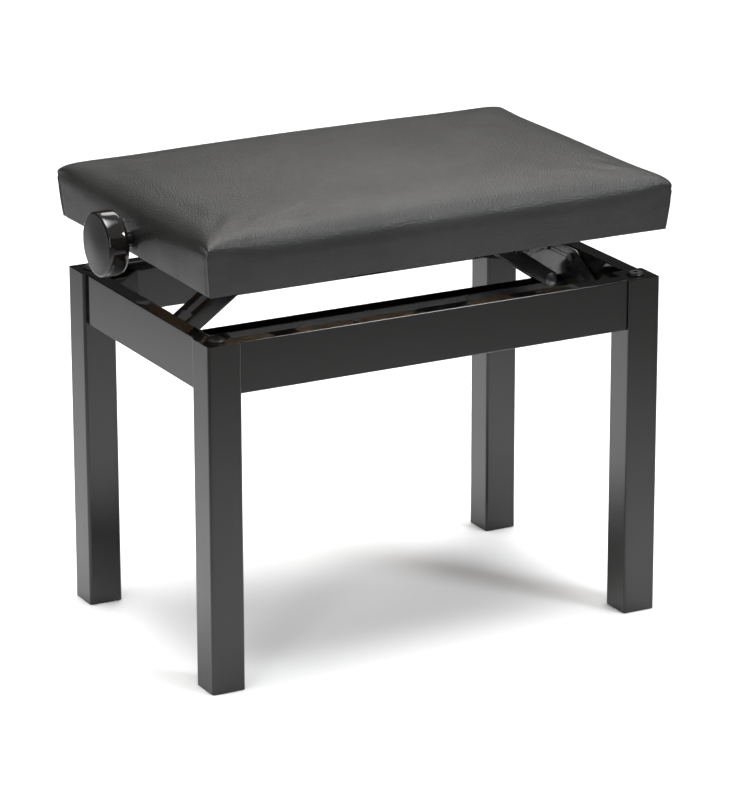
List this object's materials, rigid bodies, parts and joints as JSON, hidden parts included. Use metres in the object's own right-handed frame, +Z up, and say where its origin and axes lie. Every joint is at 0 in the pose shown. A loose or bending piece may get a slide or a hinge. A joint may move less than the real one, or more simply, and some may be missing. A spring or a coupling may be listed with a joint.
{
  "type": "piano bench",
  "caption": "Height-adjustable piano bench with a padded seat on a four-leg wooden frame, raised and lowered by a side knob through a central double-arm lift.",
  "frame": {"origin": "on the floor, in the middle of the four legs", "axes": "+X along the bench away from the knob, +Y from front to back, +Z up"},
  "size_m": [0.5941, 0.365, 0.5201],
  "materials": {
    "black_lacquer": "high-gloss black polyester lacquer on wood",
    "black_steel": "gloss black paint",
    "zinc_steel": "zinc plated, dark",
    "bolt_steel": "blackened, worn bright on the edges",
    "brass_nut": "turned",
    "raw_wood": "plain beech",
    "plywood": "birch plywood",
    "leatherette": "charcoal leatherette, satin, fine grain",
    "knob_black": "polished black",
    "black_plastic": "moulded, satin",
    "black_rubber": "plain"
  },
  "bodies": {
    "frame": {"leg_front_left": "black_lacquer", "leg_back_left": "black_lacquer", "leg_front_right": "black_lacquer", "leg_back_right": "black_lacquer", "front_rail": "black_lacquer", "back_rail": "black_lacquer", "left_rail": "black_lacquer", "right_rail": "black_lacquer", "corner_block_front_left": "raw_wood", "corner_block_back_left": "raw_wood", "corner_block_front_right": "raw_wood", "corner_block_back_right": "raw_wood", "rail_dowels": "raw_wood", "corner_bolts": "zinc_steel", "leg_top_bolts": "bolt_steel", "foot_glides": "black_plastic", "left_end_plate": "black_steel", "right_end_plate": "black_steel", "end_plate_screws": "zinc_steel", "base_channel": "black_steel", "left_hinge_pin": "zinc_steel", "right_hinge_pin": "zinc_steel"},
    "left_arms": {"left_arm_front": "black_steel", "left_arm_back": "black_steel", "left_middle_pin": "zinc_steel"},
    "right_arms": {"right_arm_front": "black_steel", "right_arm_back": "black_steel", "right_middle_pin": "zinc_steel"},
    "left_links": {"left_link_front": "black_steel", "left_link_back": "black_steel", "left_link_spacer": "black_steel"},
    "right_links": {"right_link_front": "black_steel", "right_link_back": "black_steel", "right_link_spacer": "black_steel"},
    "left_nut": {"left_nut": "brass_nut"},
    "right_nut": {"right_nut": "brass_nut"},
    "seat": {"seat_board": "plywood", "seat_side_front": "plywood", "seat_side_back": "plywood", "seat_side_left": "plywood", "seat_side_right": "plywood", "cushion": "leatherette", "side_cover": "leatherette", "left_bearing": "black_steel", "centre_bearing": "black_steel", "right_bearing": "black_steel", "left_link_bracket": "black_steel", "right_link_bracket": "black_steel", "link_bracket_pins": "zinc_steel", "bracket_screws": "zinc_steel", "spindle_bush": "black_plastic", "seat_bumpers": "black_rubber"},
    "spindle": {"spindle": "zinc_steel", "knob_collar": "black_plastic", "knob": "knob_black", "spindle_clips": "zinc_steel"}
  },
  "joints": [
    {"name": "left_arm_hinge", "type": "hinge", "parent": "frame", "child": "left_arms", "pos_m": [-0.23, 0, 0.35], "axis": [0, -1, 0], "range_deg": [-17, 19]},
    {"name": "left_link_hinge", "type": "hinge", "parent": "left_arms", "child": "left_links", "pos_m": [-0.15095, 0, 0.40535], "axis": [0, -1, 0], "range_deg": [-38, 34]},
    {"name": "seat_hinge", "type": "hinge", "parent": "left_links", "child": "seat", "pos_m": [-0.23, 0, 0.4607], "axis": [0, -1, 0], "range_deg": [-17, 19]},
    {"name": "right_arm_hinge", "type": "hinge", "parent": "frame", "child": "right_arms", "pos_m": [0.23, 0, 0.35], "axis": [0, 1, 0], "range_deg": [-17, 19]},
    {"name": "right_link_hinge", "type": "hinge", "parent": "right_arms", "child": "right_links", "pos_m": [0.15095, 0, 0.40535], "axis": [0, 1, 0], "range_deg": [-38, 34]},
    {"name": "left_nut_hinge", "type": "hinge", "parent": "left_arms", "child": "left_nut", "pos_m": [-0.0719, 0, 0.4607], "axis": [0, -1, 0], "range_deg": [-19, 17]},
    {"name": "right_nut_hinge", "type": "hinge", "parent": "right_arms", "child": "right_nut", "pos_m": [0.0719, 0, 0.4607], "axis": [0, 1, 0], "range_deg": [-19, 17]},
    {"name": "knob_turn", "type": "hinge", "parent": "seat", "child": "spindle", "pos_m": [0, 0, 0.4607], "axis": [1, 0, 0], "range_deg": [-1489.9, 1665.1]}
  ],
  "couplings": [
    {"joint": "left_arm_hinge", "follows": "knob_turn", "ratio": 0.01141},
    {"joint": "left_link_hinge", "follows": "knob_turn", "ratio": -0.022821},
    {"joint": "seat_hinge", "follows": "knob_turn", "ratio": 0.01141},
    {"joint": "right_arm_hinge", "follows": "knob_turn", "ratio": 0.01141},
    {"joint": "right_link_hinge", "follows": "knob_turn", "ratio": -0.022821},
    {"joint": "left_nut_hinge", "follows": "knob_turn", "ratio": -0.01141},
    {"joint": "right_nut_hinge", "follows": "knob_turn", "ratio": -0.01141}
  ]
}
